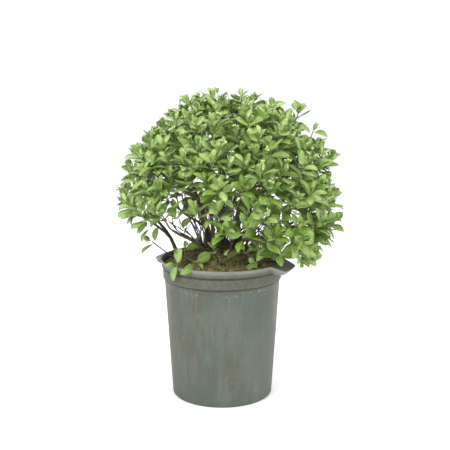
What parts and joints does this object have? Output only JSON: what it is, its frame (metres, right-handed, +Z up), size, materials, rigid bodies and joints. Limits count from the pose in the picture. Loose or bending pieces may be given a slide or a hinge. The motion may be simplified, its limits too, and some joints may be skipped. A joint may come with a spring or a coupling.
{
  "type": "potted boxwood",
  "caption": "Rounded evergreen boxwood bush with forked stems and dense leaf sprays, growing in heaped soil in a tapered plastic nursery pot with grip ears.",
  "frame": {"origin": "middle of the pot's flat underside", "axes": "+Z up along the pot's axis, +X to the right seen from the front, and the front faces -Y"},
  "size_m": [0.5959, 0.6009, 0.765],
  "materials": {
    "pot_plastic": "weathered grey-green moulded plastic, dull, with dirt and pale scuffs",
    "potting_soil": "moist crumbly dark brown bark and peat compost",
    "bark": "fine-fissured grey-brown bark",
    "leaf": "leathery satin green leaves, paler underneath"
  },
  "bodies": {
    "root": {"leaf_spray_01": "leaf", "leaf_spray_02": "leaf", "leaf_spray_03": "leaf", "leaf_spray_04": "leaf", "leaf_spray_05": "leaf", "leaf_spray_06": "leaf", "leaf_spray_07": "leaf", "leaf_spray_08": "leaf", "leaf_spray_09": "leaf", "leaf_spray_10": "leaf", "leaf_spray_11": "leaf", "leaf_spray_12": "leaf", "leaf_spray_13": "leaf", "leaf_spray_14": "leaf", "leaf_spray_15": "leaf", "leaf_spray_16": "leaf", "leaf_spray_17": "leaf", "leaf_spray_18": "leaf", "leaf_spray_19": "leaf", "leaf_spray_20": "leaf", "leaf_spray_21": "leaf", "leaf_spray_22": "leaf", "leaf_spray_23": "leaf", "leaf_spray_24": "leaf", "leaf_spray_25": "leaf", "leaf_spray_26": "leaf", "leaf_spray_27": "leaf", "leaf_spray_28": "leaf", "leaf_spray_29": "leaf", "leaf_spray_30": "leaf", "leaf_spray_31": "leaf", "leaf_spray_32": "leaf", "low_leaf_spray_1": "leaf", "low_leaf_spray_2": "leaf", "low_leaf_spray_3": "leaf", "low_leaf_spray_4": "leaf", "low_twig_1": "bark", "low_twig_2": "bark", "low_twig_3": "bark", "low_twig_4": "bark", "pot": "pot_plastic", "potting_soil": "potting_soil", "stem_01": "bark", "stem_02": "bark", "stem_03": "bark", "stem_04": "bark", "stem_05": "bark", "stem_06": "bark", "stem_07": "bark", "stem_08": "bark", "stem_09": "bark", "stem_10": "bark", "stem_11": "bark", "stem_12": "bark"}
  },
  "joints": []
}
